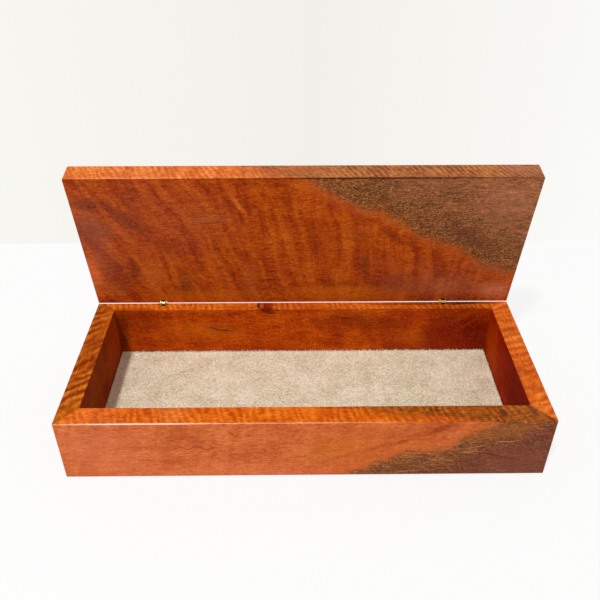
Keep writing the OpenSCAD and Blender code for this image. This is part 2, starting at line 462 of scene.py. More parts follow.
# %% [markdown]
# The fiddleback on the edges is nearly regular, so it is a sine wave along the board. One
# noise shifts its phase, so that the spacing varies, and another one lets its strength
# come and go.

# %% Curl on the edges
PHASE_GRAIN = (10, 30, 20)
PHASE_SHIFT = 1.6
SWELL_GRAIN = (16, 22, 7)
SWELL_LEAST = 0.1

leaning = add(figure, "ShaderNodeMath", {0: true_xyz["Z"], 1: given["Curl slant"],
                                         2: bent_xyz["X"]}, operation="MULTIPLY_ADD")
turns = add(figure, "ShaderNodeMath", {0: leaning, 1: given["Curl pitch"]},
            operation="DIVIDE")
shift = stretched(figure, seeded, PHASE_GRAIN, detail=2.0)
phase = add(figure, "ShaderNodeMath", {0: shift, 1: PHASE_SHIFT, 2: turns},
            operation="MULTIPLY_ADD")
angle = add(figure, "ShaderNodeMath", {0: phase, 1: 2 * pi}, operation="MULTIPLY")
wave = add(figure, "ShaderNodeMath", {0: angle}, operation="SINE")
swell = stretched(figure, seeded, SWELL_GRAIN, detail=1.0)
swell = add(figure, "ShaderNodeMapRange", {"Value": swell, **NOISE_RANGE,
                                           "To Min": SWELL_LEAST})
curl = add(figure, "ShaderNodeMath", {0: wave, 1: swell}, operation="MULTIPLY")
curl = add(figure, "ShaderNodeMath", {0: curl, 1: given["Edge"]}, operation="MULTIPLY")
print("with the curl:", len(figure.nodes), "nodes")

# %% [markdown]
# The crepe is a few millimetres long. Real fibres are finer than a tenth of a millimetre,
# too fine to show, so they are drawn 0.8 mm wide and 10 mm long, with pores that are
# shorter. A sanded face has an even speckle of about a millimetre. At the end each
# pattern pushes the tone up or down from the middle by its own depth.

# %% Crepe, fibres and pores
CREPE_GRAIN = (6, 1.8, 1.8)
FIBRE_GRAIN = (10, 0.8, 0.8)
PORE_GRAIN = (4.0, 0.9, 0.9)
SPECKLE_GRAIN = (1.6, 1.1, 1.1)

crepe = stretched(figure, bent, CREPE_GRAIN, detail=3.0, rough=0.65, swirl=1.5)
crepe = add(figure, "ShaderNodeMapRange", {"Value": crepe, **NOISE_RANGE})
fibre = stretched(figure, bent, FIBRE_GRAIN, detail=3.0, rough=0.7)
pore = stretched(figure, bent, PORE_GRAIN, detail=1.0)
pore = add(figure, "ShaderNodeMapRange", {"Value": pore, "From Min": 0.6,
                                          "From Max": 0.75})
speckle = stretched(figure, seeded, SPECKLE_GRAIN, detail=2.0, rough=0.75)

# Each pattern is first moved so that its own middle is nought
tone = 0.5
for pattern, middle, depth in ((cloud, -0.5, "Cloud depth"), (band, -0.5, "Band depth"),
                               (curl, 0.0, "Curl depth"), (crepe, -0.5, "Crepe depth"),
                               (line, -0.7, "Line depth")):
    push = add(figure, "ShaderNodeMath", {0: pattern, 1: middle}, operation="ADD")
    tone = add(figure, "ShaderNodeMath", {0: push, 1: given[depth], 2: tone},
               operation="MULTIPLY_ADD")
for output, label in ((tone, "Tone"), (fibre, "Fibre"), (pore, "Pores"),
                      (speckle, "Speckle")):
    figure.links.new(output, result[label])
print("figured timber group:", len(figure.nodes), "nodes")

# %% [markdown]
# ## Marks of one board
# Noise gives the character of a species, but a board is known by its own marks: a dark
# streak, a pale patch, a knot. They are listed one by one on the board's ruler. A mark is a
# soft oval, made by a Mapping node of type Texture, which moves, turns and shrinks the
# place so that the oval becomes a ball of radius one. The ball is then a simple distance.

# %% The mark group
mark, given, result = new_group("wood mark", {
    "Place": ("Vector", NO_PLACE),
    "Centre": ("Vector", NO_PLACE),
    "Reach": ("Vector", (10, 10, 30)),
    "Turn": ("Vector", NO_PLACE),
    "Strength": ("Float", 1.0),
}, ("Mask",))
ball = add(mark, "ShaderNodeMapping", {
    "Vector": given["Place"], "Location": given["Centre"],
    "Rotation": given["Turn"], "Scale": given["Reach"]}, vector_type="TEXTURE")
away = add(mark, "ShaderNodeVectorMath", {0: ball}, operation="LENGTH").node
mask = add(mark, "ShaderNodeMapRange", {
    "Value": away.outputs["Value"], "From Min": 1.0, "From Max": 0.2}, **SMOOTH)
mask = add(mark, "ShaderNodeMath", {0: mask, 1: given["Strength"]}, operation="MULTIPLY")
mark.links.new(mask, result["Mask"])
print("wood mark group:", len(mark.nodes), "nodes")

# %% [markdown]
# Painting means laying one colour over another by a mask, which is what a Mix node does.
# A plain oval would have too smooth an edge, so marks are read at a place that noise has
# made ragged.

# %% Painting with marks
ANY_DEPTH = (0, 60)


def ragged(tree, place, reach, grain):
    """The place pushed about by up to reach millimetres, so that edges come out uneven."""
    shake = stretched(tree, place, grain, detail=3.0, rough=0.6).node.outputs["Color"]
    shake = add(tree, "ShaderNodeVectorMath", {0: shake, 1: NOISE_MIDDLE},
                operation="SUBTRACT")
    return add(tree, "ShaderNodeVectorMath", {0: shake, 1: [2 * reach] * 3, 2: place},
               operation="MULTIPLY_ADD")


def paint(tree, place, colour, marks):
    """Lays soft oval marks over a colour: (x, y), (half length, half width), turn in
    degrees, colour code, strength, and where it matters the depth as (z, half depth)."""
    for (x, y), (long, wide), turn, code, strength, *depth in marks:
        z, deep = depth[0] if depth else ANY_DEPTH
        mask = add(tree, "ShaderNodeGroup", {
            "Place": place, "Centre": (x, y, z), "Reach": (long, wide, deep),
            "Turn": (0, 0, radians(turn)), "Strength": strength}, node_tree=mark)
        colour = add(tree, "ShaderNodeMix", {"Factor": mask, "A": colour,
                                             "B": linear(code)}, **MIX)
    return colour


print("marks are (x, y), (half length, half width), turn, colour, strength")

# %% [markdown]
# ## Lines in the wood
# Some marks are lines: the border between two woods, or a hair-thin dark vein. A Float
# Curve node holds a line as its height for each place along the board. What matters is
# how far a point lies above the line, because a ramp over that distance can paint a thin
# vein or a wide border alike.

# %% Distance from a line
LINE_LOW = -100
LINE_HIGH = 300


def above_line(tree, place, points, lean=0.0):
    """Distance in mm above a line through points (x, y), which leans with the depth z."""
    x, y, z = add(tree, "ShaderNodeSeparateXYZ", {0: place}).node.outputs
    start, end = points[0][0], points[-1][0]
    along = add(tree, "ShaderNodeMapRange", {"Value": x, "From Min": start,
                                             "From Max": end})
    curve = add(tree, "ShaderNodeFloatCurve", {"Value": along})
    track = curve.node.mapping.curves[0]
    for number, (px, py) in enumerate(points):
        at = ((px - start) / (end - start), (py - LINE_LOW) / (LINE_HIGH - LINE_LOW))
        if number < 2:
            track.points[number].location = at
        else:
            track.points.new(*at)
    curve.node.mapping.update()
    line = add(tree, "ShaderNodeMapRange", {"Value": curve, "To Min": LINE_LOW,
                                            "To Max": LINE_HIGH})
    line = add(tree, "ShaderNodeMath", {0: z, 1: lean, 2: line}, operation="MULTIPLY_ADD")
    return add(tree, "ShaderNodeMath", {0: y, 1: line}, operation="SUBTRACT")


print("lines may run from", LINE_LOW, "to", LINE_HIGH, "mm")

# %% [markdown]
# A vein is a thin dark or light line where the fibres took up more oil or less. It is
# strongest along its middle and fades towards both ends.

# %% Thin veins
VEIN_BODY = 0.4


def draw_veins(tree, place, colour, veins):
    """Thin lines over a colour: points (x, y), half width, colour code, strength."""
    for points, half_width, code, strength in veins:
        off = away_from(tree, above_line(tree, place, points), 0.0)
        x = add(tree, "ShaderNodeSeparateXYZ", {0: place})
        middle = (points[0][0] + points[-1][0]) / 2
        reach = (points[-1][0] - points[0][0]) / 2
        fade = add(tree, "ShaderNodeMapRange", {
            "Value": away_from(tree, x, middle), "From Min": reach,
            "From Max": reach * VEIN_BODY, "To Max": strength}, **SMOOTH)
        mask = add(tree, "ShaderNodeMapRange", {
            "Value": off, "From Min": half_width, "From Max": 0.0, "To Max": fade},
            **SMOOTH)
        colour = add(tree, "ShaderNodeMix", {"Factor": mask, "A": colour,
                                             "B": linear(code)}, **MIX)
    return colour


print(f"a vein is at full strength over {VEIN_BODY:.0%} of its length")

# %% [markdown]
# ## Laying up a board
# Every board goes the same way: the figure gives a tone, a ramp turns the tone into
# colour, marks are painted over it, and the fibres and the oil come last. The faces that
# look into the box are deeper, partly as painted shade of the box's inside, and the edges
# catch the curl and are brighter, so each has its own ramp. Which is which comes from the way the
# surface faces.

# %% Start of a board
TONE_STOPS = (0.2, 0.5, 0.8)


def start_board(name, board, face, far_face, edge_face, **figure_sizes):
    """A timber material as far as its plain figure. Each ramp is three colour codes."""
    material, tree, out = new_material(name)
    place = ruler(tree, board)
    # An edge faces along Y. What looks into the box, or out of the lid's top, faces down Z
    way = add(tree, "ShaderNodeSeparateXYZ", {0: facing(tree, board)}).node.outputs
    upright = add(tree, "ShaderNodeMath", {0: way["Y"]}, operation="ABSOLUTE")
    edge = add(tree, "ShaderNodeMapRange", {"Value": upright, "From Min": 0.5,
                                            "From Max": 0.9}, **SMOOTH)
    far = add(tree, "ShaderNodeMapRange", {"Value": way["Z"], "From Min": -0.3,
                                           "From Max": -0.7})
    grain = add(tree, "ShaderNodeGroup", {"Place": place, "Edge": edge},
                node_tree=figure).node
    for label, value in figure_sizes.items():
        grain.inputs[label.replace("_", " ").capitalize()].default_value = value
    # On the walls the far ramp, for the inside, is deeper, partly as painted shade of the box's
    # inside
    near, behind, on_edge = (
        add(tree, "ShaderNodeValToRGB", {"Fac": grain.outputs["Tone"]},
            stops=zip(TONE_STOPS, codes)) for codes in (face, far_face, edge_face))
    colour = add(tree, "ShaderNodeMix", {"Factor": far, "A": near, "B": behind}, **MIX)
    colour = add(tree, "ShaderNodeMix", {"Factor": edge, "A": colour, "B": on_edge}, **MIX)
    return material, tree, out, place, edge, grain, colour


print("a tone from", TONE_STOPS[0], "to", TONE_STOPS[-1], "runs through the three colours")

# %% [markdown]
# The wood is oiled and rubbed, not varnished. Oil soaks in, so the pores stay open and
# dark and the fibres keep a fine relief. It leaves a satin face, so the gloss lies between
# matt and silk, and its amber colour makes the reflections warm. Fine glints of light on
# the rubbed face are painted into its colour, as painted highlights.

# %% Finish of a board
PORE_COLOUR = "4a1804"
PORE_SHARE = 0.4
# Colour and share of the painted glints, highlights laid into the colour
PAINTED_GLINT_COLOUR = "e0a468"
PAINTED_GLINT_SHARE = 1.4
OIL_TINT = "ffc080"


def finish_board(tree, out, grain, colour, gloss, contrast):
    """Fibres, speckle, pores and painted glints over a board's colour, and the oil on top."""
    for output in ("Fibre", "Speckle"):
        colour = add(tree, "ShaderNodeMix", {"Factor": contrast, "A": colour,
                                             "B": grain.outputs[output]}, **OVERLAY)
    pores = add(tree, "ShaderNodeMath", {0: grain.outputs["Pores"], 1: PORE_SHARE},
                operation="MULTIPLY")
    # Painted glints: the brightest grains of the speckle turn pale, standing in for light
    # glinting off the rubbed face
    painted_glint = add(tree, "ShaderNodeMapRange", {"Value": grain.outputs["Speckle"],
                                             "From Min": 0.5, "From Max": 0.72,
                                             "To Max": PAINTED_GLINT_SHARE * gloss})
    for share, code in ((pores, PORE_COLOUR), (painted_glint, PAINTED_GLINT_COLOUR)):
        colour = add(tree, "ShaderNodeMix", {"Factor": share, "A": colour,
                                             "B": linear(code)}, **MIX)
    rough = add(tree, "ShaderNodeMapRange", {"Value": grain.outputs["Fibre"],
                                             **NOISE_RANGE, "To Min": 0.55,
                                             "To Max": 0.42})
    relief = add(tree, "ShaderNodeMath", {0: grain.outputs["Fibre"],
                                          1: grain.outputs["Pores"]}, operation="SUBTRACT")
    bump = add(tree, "ShaderNodeBump", {"Height": relief, "Distance": 0.02 * MM,
                                        "Strength": 0.6})
    oil = add(tree, "ShaderNodeBsdfPrincipled", {
        "Base Color": colour, "Roughness": rough, "Normal": bump, "IOR": 1.45,
        "Specular IOR Level": gloss, "Specular Tint": linear(OIL_TINT)})
    tree.links.new(oil, out.inputs["Surface"])


print("pores darken by up to", PORE_SHARE)

# %% Dressing a solid
def dress(material, *nodes):
    """Gives CAD solids a material."""
    for name in nodes:
        mesh = frame["nodes"][name].data
        mesh.materials.clear()
        mesh.materials.append(material)
    print(f"{material.name}: {len(material.node_tree.nodes)} nodes, on {', '.join(nodes)}")


print("boards to lay up:", ", ".join(board for board in RULERS if board != "bottom"))

# %% [markdown]
# ## Wood of another colour
# On the lid and the front board a wedge of grey-brown wood meets the red wood along a
# wandering line. Next to the line the red wood is pale, and the brown wood is dark at
# first and calmer further in, with light flecks where its open pores were filled, dark
# pores between them, and light curls where the fibres swirl.

# %% Brown wood on the faces
DEEP_IN = 80.0
RIPPLE_GRAIN = (7, 1.5, 1.5)
# Grain in mm, roughness, least noise that shows, colour: light flecks, then dark pores
SPOTS = (
    ((1.5, 0.8, 0.8), 0.8, 0.52, "d4a470"),
    ((2.4, 0.8, 0.8), 0.7, 0.5, "40200c"),
)
SPOTS_FULL = 0.68
SPOTS_FAR_IN = 0.45
CURL_GRAIN = (10, 3, 3)
CURL_WIDTH = 0.035
CURL_COLOUR = "c4803c"


def brown_face(tree, place, depth, cloud, tints, cloud_share, ripple_share, fleck_share,
               curl_share):
    """Brown wood on a wide face, by its depth behind the line in mm. The tints are for
    the line itself and for 20, 40 and 60 mm further in."""
    inward = add(tree, "ShaderNodeMapRange", {"Value": depth, "From Max": DEEP_IN})
    wood = add(tree, "ShaderNodeValToRGB", {"Fac": inward},
               stops=zip((0, 0.25, 0.5, 0.75), tints))
    uneven = ragged(tree, place, reach=2.0, grain=(9, 5, 5))
    ripple = stretched(tree, uneven, RIPPLE_GRAIN, detail=3.0, rough=0.6)
    ripple = add(tree, "ShaderNodeMapRange", {"Value": ripple, **NOISE_RANGE})
    for pattern, share in ((cloud, cloud_share), (ripple, ripple_share)):
        wood = add(tree, "ShaderNodeMix", {"Factor": share, "A": wood, "B": pattern},
                   **OVERLAY)
    # Flecks and pores are strongest up to 15 mm behind the line, and curls up to 8 mm
    near = add(tree, "ShaderNodeMapRange", {"Value": depth, "From Min": 55.0,
                                            "From Max": 15.0,
                                            "To Min": SPOTS_FAR_IN * fleck_share,
                                            "To Max": fleck_share})
    for spot_grain, rough, least, code in SPOTS:
        spot = stretched(tree, place, spot_grain, detail=2.0, rough=rough, swirl=1.0)
        spot = add(tree, "ShaderNodeMapRange", {"Value": spot, "From Min": least,
                                                "From Max": SPOTS_FULL, "To Max": near})
        wood = add(tree, "ShaderNodeMix", {"Factor": spot, "A": wood, "B": linear(code)},
                   **MIX)
    uneven = ragged(tree, place, reach=2.5, grain=(8, 5, 5))
    level = stretched(tree, uneven, CURL_GRAIN, detail=2.0)
    level = away_from(tree, level, 0.5)
    near = add(tree, "ShaderNodeMapRange", {"Value": depth, "From Min": 30.0,
                                            "From Max": 8.0, "To Max": curl_share})
    curls = add(tree, "ShaderNodeMapRange", {"Value": level, "From Min": CURL_WIDTH,
                                             "From Max": 0.0, "To Max": near})
    return add(tree, "ShaderNodeMix", {"Factor": curls, "A": wood,
                                       "B": linear(CURL_COLOUR)}, **MIX)


print("the brown wood changes up to", DEEP_IN, "mm behind its line")

# %% [markdown]
# On the narrow edges the fiddleback stripes run on through the brown, so there the tone of
# the figure gives the colour, and dark streaks lie nearly along the board.

# %% Brown wood on the edges
EDGE_STOPS = (0.25, 0.5, 0.75)
EDGE_CLOUD = 0.6
STREAK_TURN = -12
STREAK_GRAIN = (12, 5, 1.2)
STREAK_COLOUR = "5a2e0c"


def brown_edge(tree, place, grain, cloud, tints, streak_share):
    """Brown wood on a narrow edge, with tints for a low, middle and high tone, and dark
    streaks where their share is more than nought."""
    wood = add(tree, "ShaderNodeValToRGB", {"Fac": grain.outputs["Tone"]},
               stops=zip(EDGE_STOPS, tints))
    wood = add(tree, "ShaderNodeMix", {"Factor": EDGE_CLOUD, "A": wood, "B": cloud},
               **OVERLAY)
    if not streak_share:
        return wood
    slanted = add(tree, "ShaderNodeMapping", {"Vector": place,
                                              "Rotation": (0, radians(STREAK_TURN), 0)})
    streaks = stretched(tree, slanted, STREAK_GRAIN, detail=2.0, rough=0.6)
    streaks = add(tree, "ShaderNodeMapRange", {"Value": streaks, "From Min": 0.5,
                                               "From Max": 0.62, "To Max": streak_share})
    return add(tree, "ShaderNodeMix", {"Factor": streaks, "A": wood,
                                       "B": linear(STREAK_COLOUR)}, **MIX)


print("dark streaks lean by", STREAK_TURN, "degrees")

# %% [markdown]
# The wedge puts both together. The border between the woods isn't clean: the brown runs on
# along single fibres, so a noise with long grains frays it, and on the edges it is wider.

# %% The brown wedge
BROWN_CLOUD = (28, 7, 7)
PALE_BAND = 12.0
PALE_SHARE = 0.5
FRAY_GRAIN = (16, 2.2, 2.2)
FRAY_REACH = 12.0
FRAY_END = 11.0
EDGE_BORDER = 16.0


def brown_wedge(tree, place, edge, grain, colour, line, lean, side, band, tints,
                edge_tints, streak_share, **face_shares):
    """Brown wood over a board where it lies on one side (1 above, -1 below) of a line,
    with a band of pale red wood in front of the line."""
    uneven = ragged(tree, place, reach=1.6, grain=(12, 7, 7))
    depth = add(tree, "ShaderNodeMath", {0: above_line(tree, uneven, line, lean), 1: side},
                operation="MULTIPLY")
    on_face = add(tree, "ShaderNodeMapRange", {"Value": edge, "To Min": PALE_SHARE,
                                               "To Max": 0.0})
    pale = add(tree, "ShaderNodeMapRange", {"Value": depth, "From Min": -PALE_BAND,
                                            "From Max": -1.0, "To Max": on_face}, **SMOOTH)
    colour = add(tree, "ShaderNodeMix", {"Factor": pale, "A": colour,
                                         "B": linear(band)}, **MIX)
    uneven = ragged(tree, place, reach=5.0, grain=(20, 12, 12))
    cloud = stretched(tree, uneven, BROWN_CLOUD, detail=4.0, rough=0.65)
    on_faces = brown_face(tree, place, depth, cloud, tints, **face_shares)
    on_edges = brown_edge(tree, place, grain, cloud, edge_tints, streak_share)
    wood = add(tree, "ShaderNodeMix", {"Factor": edge, "A": on_faces, "B": on_edges}, **MIX)
    long_grain = stretched(tree, place, FRAY_GRAIN, detail=3.0, rough=0.65, swirl=0.6)
    frayed = add(tree, "ShaderNodeMath", {0: long_grain, 1: FRAY_REACH, 2: depth},
                 operation="MULTIPLY_ADD")
    start = add(tree, "ShaderNodeMath", {0: edge, 1: -EDGE_BORDER}, operation="MULTIPLY")
    cover = add(tree, "ShaderNodeMapRange", {"Value": frayed, "From Min": start,
                                             "From Max": FRAY_END}, **SMOOTH)
    return add(tree, "ShaderNodeMix", {"Factor": cover, "A": colour, "B": wood}, **MIX)


print("brown wood lies above the line on the lid and below it on the front board")

# %% [markdown]
# ## The lid board
# The lid is a single wide board. Its bands fan out from left to right, its left end is
# darker, and the brown wood fills the upper right of its inside. A real board has its own
# marks and no others, so they aren't left to chance but listed here on the lid's ruler, in
# the order in which they are painted. The brown wood goes over them, and the marks along
# the front edge, whose arrises were sanded round, come last, with a painted highlight.

# %% Marks of the lid board
LID_LINE = [(-200, 290), (-40, 158), (4, 115), (16, 103), (34, 92.5), (52, 86), (67, 77),
            (80, 66), (98, 59), (112, 50), (128, 37), (150, 30), (200, 18)]
LID_MARKS = [
    ((-100, 80), (80, 55), 0, "98483c", 0.2),
    ((95, 25), (75, 30), 0, "98483c", 0.15),
    ((-141, 62), (62, 16), 90, "8c4a40", 0.35),
    ((-130, 28), (34, 18), 82, "7c382a", 0.4),
    ((-118, 36), (20, 5), 95, "6a2a18", 0.45),
    ((-148, 32), (24, 9), 90, "d2602e", 0.9),
    ((-138, 94), (18, 7), 5, "702c1c", 0.65),
    ((-138, 72), (18, 14), 0, "8a4630", 0.65),
    ((-115, 80), (26, 8), 130, "743020", 0.75),
    ((-110, 102), (16, 3.5), 100, "7c301c", 0.6),
    ((-118, 65), (16, 4), 125, "c05c28", 0.5),
    ((-107, 28), (26, 12), 88, "c05c22", 0.7),
    ((-94, 104), (12, 2), 115, "7c260a", 0.6),
    ((-84, 24), (20, 9), 95, "86360f", 0.6),
    ((-94, 57), (14, 7), 150, "88320e", 0.6),
    ((-80, 71), (8, 3), 95, "862c0c", 0.6),
    ((-63, 81), (20, 5), 0, "b86038", 0.35),
    ((-47, 95), (13, 2.2), 128, "7a240a", 0.7),
    ((-41, 82), (11, 2.2), 100, "7a240a", 0.7),
    ((-42, 93), (16, 2), 118, "d46a20", 0.6),
    ((-36, 92), (22, 2.5), 97, "842c0a", 0.5),
    ((-25, 72), (12, 2.5), 112, "842c0a", 0.6),
    ((-14, 58), (9, 1.6), 88, "842c0a", 0.5),
    ((7, 53), (10, 1.8), 80, "842c0a", 0.5),
    ((13, 79), (10, 2.2), 108, "802a10", 0.6),
    ((19, 92), (8, 5), 130, "922c0c", 0.6),
    ((34, 84), (9, 4), 140, "922c0c", 0.6),
    ((44, 80), (10, 4), 160, "8c2608", 0.7),
    ((60, 66), (15, 5), 130, "862a0a", 0.75),
    ((74, 57), (9, 4), 125, "862a0a", 0.6),
    ((42, 38), (18, 6), 95, "803010", 0.6),
    ((65, 18), (19, 15), 0, "8c3c24", 0.7),
    ((100, 30), (18, 3.5), 100, "7c2408", 0.6),
    ((113, 18), (14, 3.5), 95, "7c2408", 0.75),
    ((28, 9), (60, 13), 0, "d06a14", 0.55),
    ((-75, 7), (60, 10), 0, "d06a14", 0.45),
    ((104, 16), (40, 17), 0, "b86440", 0.45),
    ((138, 12), (18, 13), 0, "cc7850", 0.65),
    ((132, 34), (26, 6), -12, "8c4428", 0.6),
    ((-38, 24), (28, 9), 90, "c05c20", 0.45),
    ((86, 30), (14, 9), 95, "c05824", 0.6),
    ((37, 66), (14, 9), 110, "903810", 0.45),
    ((36, 102), (9, 5), 130, "8c3810", 0.45),
    ((-62, 84), (18, 9), 0, "8c3c18", 0.35),
    ((-87, 12), (14, 8), 0, "903c14", 0.4),
]
LID_BROWN_MARKS = [
    ((130, 92), (26, 20), 10, "b07050", 0.3),
    ((112, 64), (38, 10), 146, "5c2c28", 0.45),
]
LID_EDGE_MARKS_AND_PAINTED_HIGHLIGHT = [
    # A dark line along the front arris of the lid's inside face
    ((40, 114.6), (160, 1.3), 0, "3c0e04", 0.9, (0, 1.6)),
    # A painted highlight: a thin pale line on the lid's front edge, next to its inside arris
    ((-110, 114.6), (50, 2), 0, "ffb488", 0.4, (-1.1, 0.7)),
    ((-16, 114.6), (44, 3), 0, "a44c2c", 0.5, (-7, 9)),
    ((140, 114.6), (22, 3), 0, "b87864", 0.25, (-7, 9)),
]
LID_DASHES = [
    ([(-29, 57.6), (-24, 58.4), (-19, 58)], 0.8, "601c08", 0.9),
    ([(-30, 40.8), (-24, 41.6), (-17, 41.2)], 0.8, "601c08", 0.8),
    ([(-28, 31.2), (-22, 32.6), (-16, 33.2)], 1.0, "601c08", 1.0),
    ([(-31, 23.4), (-25, 23.8), (-18, 24.2)], 1.0, "601c08", 1.0),
    ([(-12, 19.8), (-8, 18.6), (-3, 17.4)], 0.9, "601c08", 0.9),
    ([(-80, 84.4), (-62, 84.8), (-44, 84)], 0.45, "c87c50", 0.4),
    ([(-80, 81.6), (-62, 81.8), (-44, 81)], 0.45, "c87c50", 0.4),
    ([(-76, 79.2), (-62, 78), (-50, 79)], 0.6, "702008", 0.8),
]
print("lid board:", len(LID_MARKS), "marks,", len(LID_DASHES), "dashes")

# %% The lid board
parts = start_board(
    "oiled curly hardwood, lid board", "lid", face=("882804", "b04408", "c86014"),
    far_face=("9c3c10", "bc5218", "d06c2c"), edge_face=("c05a20", "da6e28", "ea8844"),
    seed=(40, 10, 5), band_pitch=6.0, band_slant=0.14, band_fan=-0.002,
    cloud_depth=0.65, band_depth=0.27, curl_pitch=3.8, curl_slant=-0.6, curl_depth=0.3,
    crepe_depth=0.46, line_depth=0.1)
lid_timber, tree, out, place, edge, grain, colour = parts
rough_place = ragged(tree, place, reach=2.5, grain=(12, 8, 8))
colour = paint(tree, rough_place, colour, LID_MARKS)
colour = draw_veins(tree, ragged(tree, place, reach=0.4, grain=(4, 2, 2)), colour, LID_DASHES)
colour = brown_wedge(tree, place, edge, grain, colour, LID_LINE, lean=2.7, side=1,
                     band="be5c26", tints=("7c3a14", "804422", "905234", "9c5c3c"),
                     edge_tints=("84462a", "a4602f", "b4703c"), cloud_share=0.85,
                     ripple_share=0.5, fleck_share=0.9, curl_share=0.2, streak_share=0)
colour = paint(tree, rough_place, colour, LID_BROWN_MARKS)
colour = paint(tree, place, colour, LID_EDGE_MARKS_AND_PAINTED_HIGHLIGHT)
finish_board(tree, out, grain, colour, gloss=0.07, contrast=0.5)
dress(lid_timber, "lid_board")

# %% [markdown]
# ## The front board
# The outside of the front wall is paler and pinker than the lid, because it isn't as deep
# in oil, with a wavy vein left of the middle. Its left part also carries a painted sheen,
# and its foot painted light from the table. The brown wood comes up from the lower right
# and goes on over the rim, where it leans back towards the middle of the box. Light curls
# and one dark vein mark its swirl. A thin painted highlight runs along the top arris.

# %% Marks of the front board
# The depth of a mark on the rim, as (z, half depth)
RIM = (-8, 9)
FRONT_LINE = [(-200, -90), (0, -9), (22, 1), (38, 9), (53, 18), (64, 22), (76, 24),
              (88, 27), (95, 35), (104, 41), (114, 48), (132, 58), (200, 95)]
FRONT_MARKS_AND_PAINTED_LIGHT = [
    # Painted sheen: the pale left part of the face stands for the white table reflected at a
    # grazing angle
    ((-125, 26), (45, 30), 0, "da744a", 0.6),
    # Painted light: the paler foot of the face stands for light thrown back by the table
    ((-60, 4), (120, 14), 0, "e27c4c", 0.4),
    ((-95, 28), (35, 4), 0, "b85428", 0.5),
    ((20, 26), (40, 18), 12, "d27428", 0.4),
    ((68, 49), (44, 3), 0, "b44a00", 0.6, RIM),
    ((70, 42), (34, 9), 10, "b05428", 0.35),
    ((58, 32), (9, 2.2), 22, "983010", 0.85),
    ((45, 28), (14, 3), 25, "ac4414", 0.7),
    ((80, 43), (14, 4), 28, "9c3812", 0.85),
    ((66, 38), (12, 3), 25, "b04818", 0.6),
    ((20, 18), (14, 2.5), 25, "b24c18", 0.5),
    ((-44, 40), (6, 2), 130, "a44418", 0.7),
    ((-80, 49), (18, 3), 0, "f0904c", 0.22, RIM),
    ((40, 28), (60, 34), 0, "c45c10", 0.22),
    ((46, 39), (26, 10), 0, "b8501c", 0.25),
    ((86, 14), (20, 8), 0, "b8541c", 0.3),
]
# A painted highlight: a thin pale line along the front top arris, brightest on the left, where
# its rounding catches the light
FRONT_ARRIS_PAINTED_HIGHLIGHT = [
    ((-100, 49), (70, 0.6), 0, "ffe4d0", 0.95, (0, 1.2)),
    ((-20, 49), (110, 0.6), 0, "ffc8a4", 0.35, (0, 1.2)),
]
FRONT_VEINS = [
    ([(-92, 25.6), (-84, 25.2), (-76, 28.2), (-71, 26.6), (-67, 29.3), (-61, 26.4),
      (-54, 27.8), (-46, 27.6)], 0.45, "5c2010", 0.9),
    ([(-96, 36), (-80, 34.6), (-68, 33.8), (-56, 34.4), (-44, 33)], 0.35, "8c3814", 0.6),
]
FRONT_BROWN_VEINS = [
    ([(95, 23.6), (101, 26), (107, 27.8), (113, 29.4)], 0.6, "c47c40", 0.8),
    ([(112, 29.6), (118, 31.6), (124, 31.4), (131, 33)], 0.6, "cc8044", 0.8),
    ([(91, 22.6), (97, 21.6), (103, 22.8), (110, 21.8)], 0.6, "cc8044", 0.8),
    ([(85, 26), (91, 25), (97, 25.6), (102, 24.6)], 0.5, "bc7038", 0.7),
    ([(60, 12), (70, 9.6), (80, 10.8), (92, 9.4)], 0.6, "b46a34", 0.7),
    ([(54, 6), (60, 4.4), (66, 5.4), (72, 4)], 0.6, "b87038", 0.8),
    ([(74, 16), (82, 14.6), (88, 15.4), (95, 13.8)], 0.5, "b46a34", 0.6),
    ([(100, 22.4), (110, 21.4), (122, 17.4), (136, 13.4)], 0.9, "4a241a", 1.0),
    ([(112, 8), (118, 7), (122, 5), (129, 5.4)], 0.6, "b46c48", 0.7),
]
FRONT_BROWN_MARKS = [
    ((130, 12), (32, 18), 0, "804434", 0.6),
    ((120, 41), (32, 8), 12, "a45820", 0.5),
    ((62, 9), (14, 5), 15, "683818", 0.45),
    ((119, 49), (4, 3), 0, "5c2410", 0.9, (-6, 6)),
    ((128, 49), (2, 3), 0, "6c3018", 0.6, (-8, 5)),
    ((101, 49), (13, 3), 0, "bc681c", 0.25, RIM),
    ((138, 49), (4, 3), 0, "683420", 0.7, RIM),
]
print("front board:", len(FRONT_MARKS_AND_PAINTED_LIGHT) + len(FRONT_BROWN_MARKS), "marks")

# %% The front board
parts = start_board(
    "oiled curly hardwood, front board", "front", face=("b45028", "ca6230", "dc7a44"),
    far_face=("8c2c04", "a83c08", "bc5010"), edge_face=("b84804", "d65e08", "e87a20"),
    seed=(0, 0, 0), band_pitch=7.0, band_slant=-0.2, cloud_depth=0.85,
    band_depth=0.2, curl_pitch=4.6, curl_slant=-0.4, curl_depth=0.26, crepe_depth=0.6,
    line_depth=0.03)
front_timber, tree, out, place, edge, grain, colour = parts
rough_place = ragged(tree, place, reach=1.5, grain=(8, 4, 4))
colour = paint(tree, rough_place, colour, FRONT_MARKS_AND_PAINTED_LIGHT)
thin_place = ragged(tree, place, reach=0.4, grain=(4, 2, 2))
colour = draw_veins(tree, thin_place, colour, FRONT_VEINS)
colour = brown_wedge(tree, place, edge, grain, colour, FRONT_LINE, lean=-3.1, side=-1,
                     band="d4662a", tints=("784020", "6c3020", "723626", "703828"),
                     edge_tints=("703206", "9a4a0c", "b66218"), cloud_share=0.4,
                     ripple_share=0.45, fleck_share=0.45, curl_share=0.7,
                     streak_share=0.42)
colour = paint(tree, rough_place, colour, FRONT_BROWN_MARKS)
colour = draw_veins(tree, thin_place, colour, FRONT_BROWN_VEINS)
colour = paint(tree, place, colour, FRONT_ARRIS_PAINTED_HIGHLIGHT)
finish_board(tree, out, grain, colour, gloss=0.07, contrast=0.45)
dress(front_timber, "front_wall")
